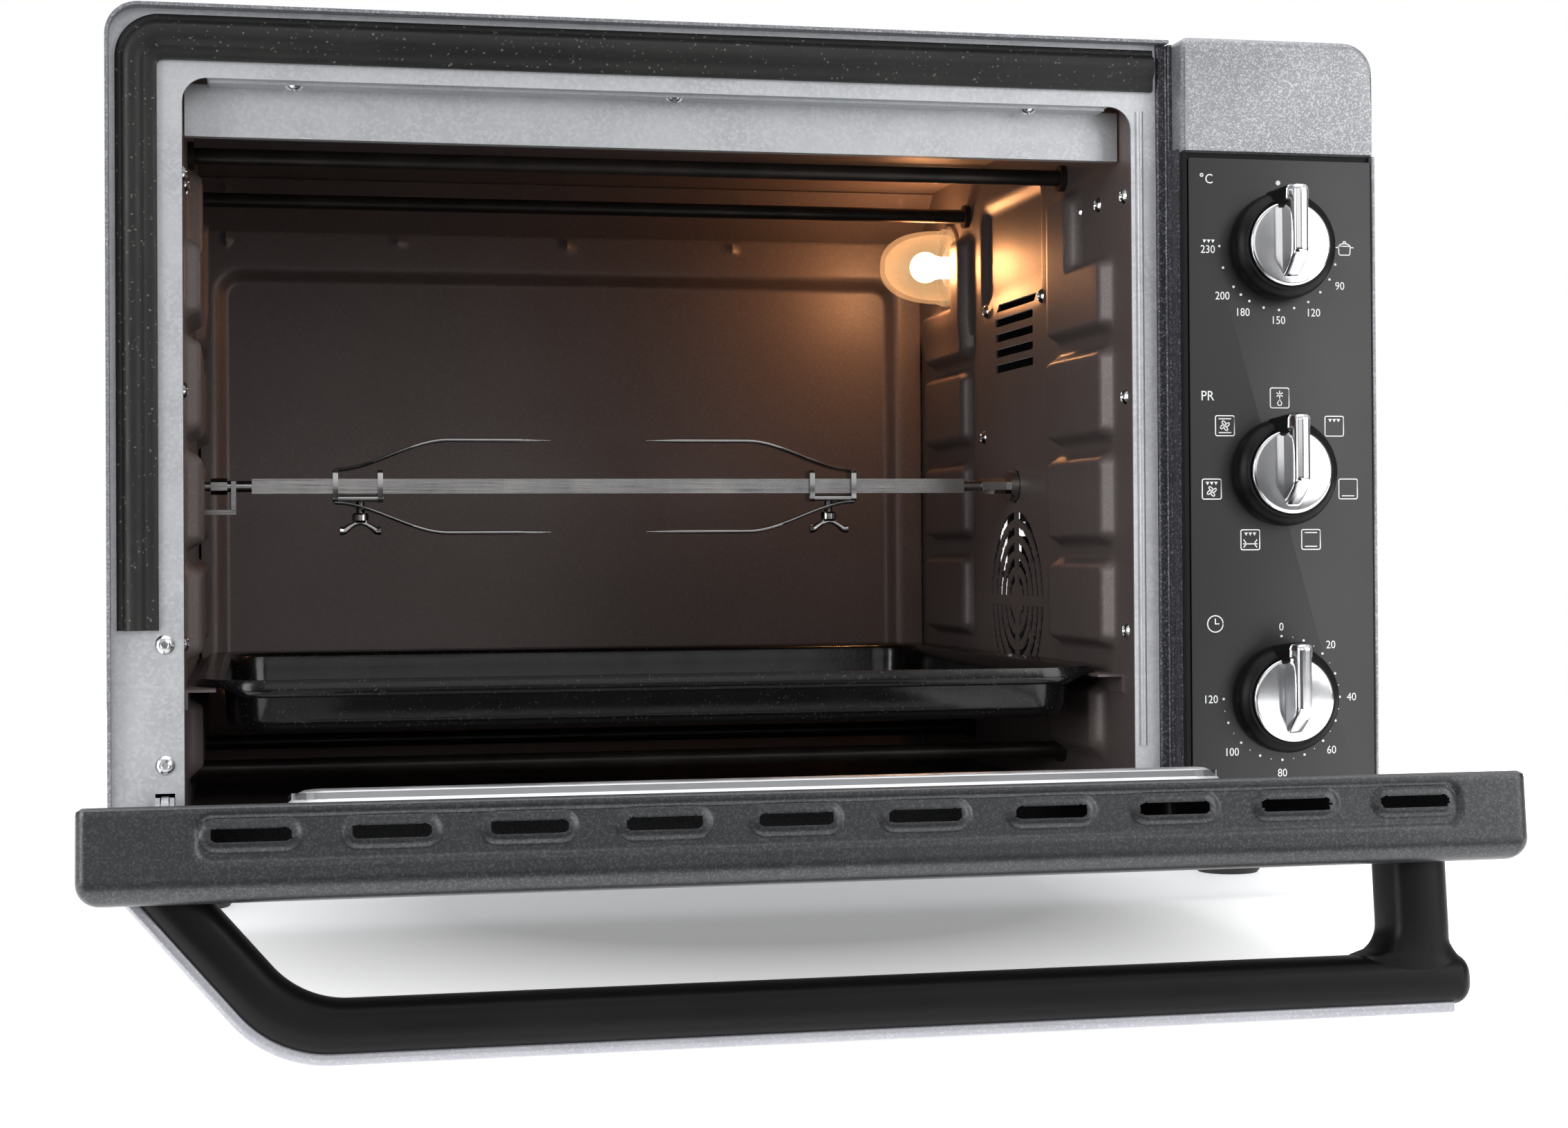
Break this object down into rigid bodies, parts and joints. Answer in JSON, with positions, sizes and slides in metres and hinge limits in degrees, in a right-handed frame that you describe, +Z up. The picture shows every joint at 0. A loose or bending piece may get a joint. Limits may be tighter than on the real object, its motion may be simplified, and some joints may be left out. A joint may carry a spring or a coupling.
{
  "type": "rotisserie oven",
  "caption": "Benchtop rotisserie oven with a drop-down glazed door, swept handle, turning spit with sliding forks, drip tray, convection fan and a console of rotary knobs.",
  "frame": {"origin": "on the plane of the feet, under the centre of the whole outline with the door down", "axes": "+X towards the control console, +Y towards the back, +Z up"},
  "size_m": [0.4856, 0.6629, 0.3365],
  "materials": {
    "case_paint": "metallic silver grey, fine sparkle",
    "door_paint": "metallic dark silver grey, satin",
    "zinc_steel": "zinc coated sheet, fine spangle",
    "bright_steel": "bright rolled sheet",
    "cavity_coat": "dark non-stick coating, satin",
    "foot_rubber": "matte",
    "seal_rubber": "matte heat-resistant seal",
    "screw_plate": "plated",
    "tube_sheath": "dark oxidised sheath",
    "lamp_metal": "satin",
    "lamp_glow": "clear bulb, lit",
    "lamp_glass": "clear heat-resistant glass",
    "spit_chrome": "bright plated",
    "motor_steel": "plain",
    "silver_plastic": "silver metallic finish",
    "dark_plastic": "satin black",
    "gloss_black": "gloss black",
    "knob_chrome": "bright",
    "door_glass": "smoked clear",
    "tray_enamel": "black glazed coat"
  },
  "bodies": {
    "case": {"outer_shell": "case_paint", "back_cover": "case_paint", "base_plate": "zinc_steel", "front_feet": "foot_rubber", "rear_feet": "foot_rubber", "cavity_front_frame": "zinc_steel", "cavity_left_wall": "cavity_coat", "cavity_right_wall": "cavity_coat", "cavity_back_wall": "cavity_coat", "cavity_ceiling": "cavity_coat", "cavity_floor": "cavity_coat", "door_gasket": "seal_rubber", "top_reflector": "zinc_steel", "reflector_screws": "screw_plate", "frame_rivets": "screw_plate", "wall_screws": "screw_plate", "upper_element_front": "tube_sheath", "upper_element_rear": "tube_sheath", "lower_element_front": "tube_sheath", "lower_element_rear": "tube_sheath", "lamp_socket": "lamp_metal", "lamp_bulb": "lamp_glow", "lamp_cover": "lamp_glass", "spit_support": "spit_chrome", "tray_guides": "zinc_steel", "spit_motor": "motor_steel", "fan_motor": "motor_steel", "console_cap": "silver_plastic", "console_column": "dark_plastic", "console_chassis": "dark_plastic", "control_fascia": "gloss_black", "thermostat": "motor_steel", "function_switch": "motor_steel", "timer": "motor_steel", "hinge_bracket_left": "zinc_steel", "hinge_bracket_right": "zinc_steel", "cord_gland": "dark_plastic"},
    "door": {"door_frame": "door_paint", "door_glass_outer": "door_glass", "door_inner_panel": "bright_steel", "door_glass_inner": "door_glass", "door_handle": "dark_plastic", "door_handle_trim": "silver_plastic", "hinge_knuckle_left": "zinc_steel", "hinge_knuckle_right": "zinc_steel"},
    "tray": {"drip_tray": "tray_enamel"},
    "spit": {"spit_rod": "spit_chrome"},
    "fork_left": {"spit_fork_left": "spit_chrome"},
    "fork_right": {"spit_fork_right": "spit_chrome"},
    "screw_left": {"fork_screw_left": "spit_chrome"},
    "screw_right": {"fork_screw_right": "spit_chrome"},
    "drive": {"drive_socket": "spit_chrome"},
    "fan": {"fan_blade": "motor_steel"},
    "thermostat_knob": {"thermostat_knob_base": "dark_plastic", "thermostat_knob_cap": "knob_chrome"},
    "function_knob": {"function_knob_base": "dark_plastic", "function_knob_cap": "knob_chrome"},
    "timer_knob": {"timer_knob_base": "dark_plastic", "timer_knob_cap": "knob_chrome"}
  },
  "joints": [
    {"name": "door_hinge", "type": "hinge", "parent": "case", "child": "door", "pos_m": [-0.0369, -0.044, 0.0461], "axis": [-1, 0, 0], "range_deg": [0, 84]},
    {"name": "tray_slide", "type": "slide", "parent": "case", "child": "tray", "axis": [0, 1, 0], "range_m": [-0.19, 0]},
    {"name": "spit_turn", "type": "hinge", "parent": "case", "child": "spit", "pos_m": [-0.03275, 0.1175, 0.166], "axis": [1, 0, 0], "continuous": true},
    {"name": "drive_turn", "type": "hinge", "parent": "case", "child": "drive", "pos_m": [0.15325, 0.1175, 0.166], "axis": [1, 0, 0], "continuous": true},
    {"name": "fork_left_slide", "type": "slide", "parent": "spit", "child": "fork_left", "axis": [1, 0, 0], "range_m": [-0.03, 0.02]},
    {"name": "fork_right_slide", "type": "slide", "parent": "spit", "child": "fork_right", "axis": [-1, 0, 0], "range_m": [-0.04, 0.02]},
    {"name": "screw_left_turn", "type": "hinge", "parent": "fork_left", "child": "screw_left", "pos_m": [-0.14625, 0.1175, 0.152], "axis": [0, 0, 1], "continuous": true},
    {"name": "screw_right_turn", "type": "hinge", "parent": "fork_right", "child": "screw_right", "pos_m": [0.05975, 0.1175, 0.152], "axis": [0, 0, 1], "continuous": true},
    {"name": "fan_turn", "type": "hinge", "parent": "case", "child": "fan", "pos_m": [0.15525, 0.1175, 0.1142], "axis": [1, 0, 0], "continuous": true},
    {"name": "thermostat_turn", "type": "hinge", "parent": "case", "child": "thermostat_knob", "pos_m": [0.20215, -0.0615, 0.255], "axis": [0, 1, 0], "range_deg": [0, 270]},
    {"name": "function_turn", "type": "hinge", "parent": "case", "child": "function_knob", "pos_m": [0.20215, -0.0615, 0.1667], "axis": [0, 1, 0], "range_deg": [0, 309]},
    {"name": "timer_turn", "type": "hinge", "parent": "case", "child": "timer_knob", "pos_m": [0.20215, -0.0615, 0.0784], "axis": [0, 1, 0], "range_deg": [0, 270]}
  ],
  "couplings": [
    {"joint": "drive_turn", "follows": "spit_turn", "ratio": 1}
  ]
}
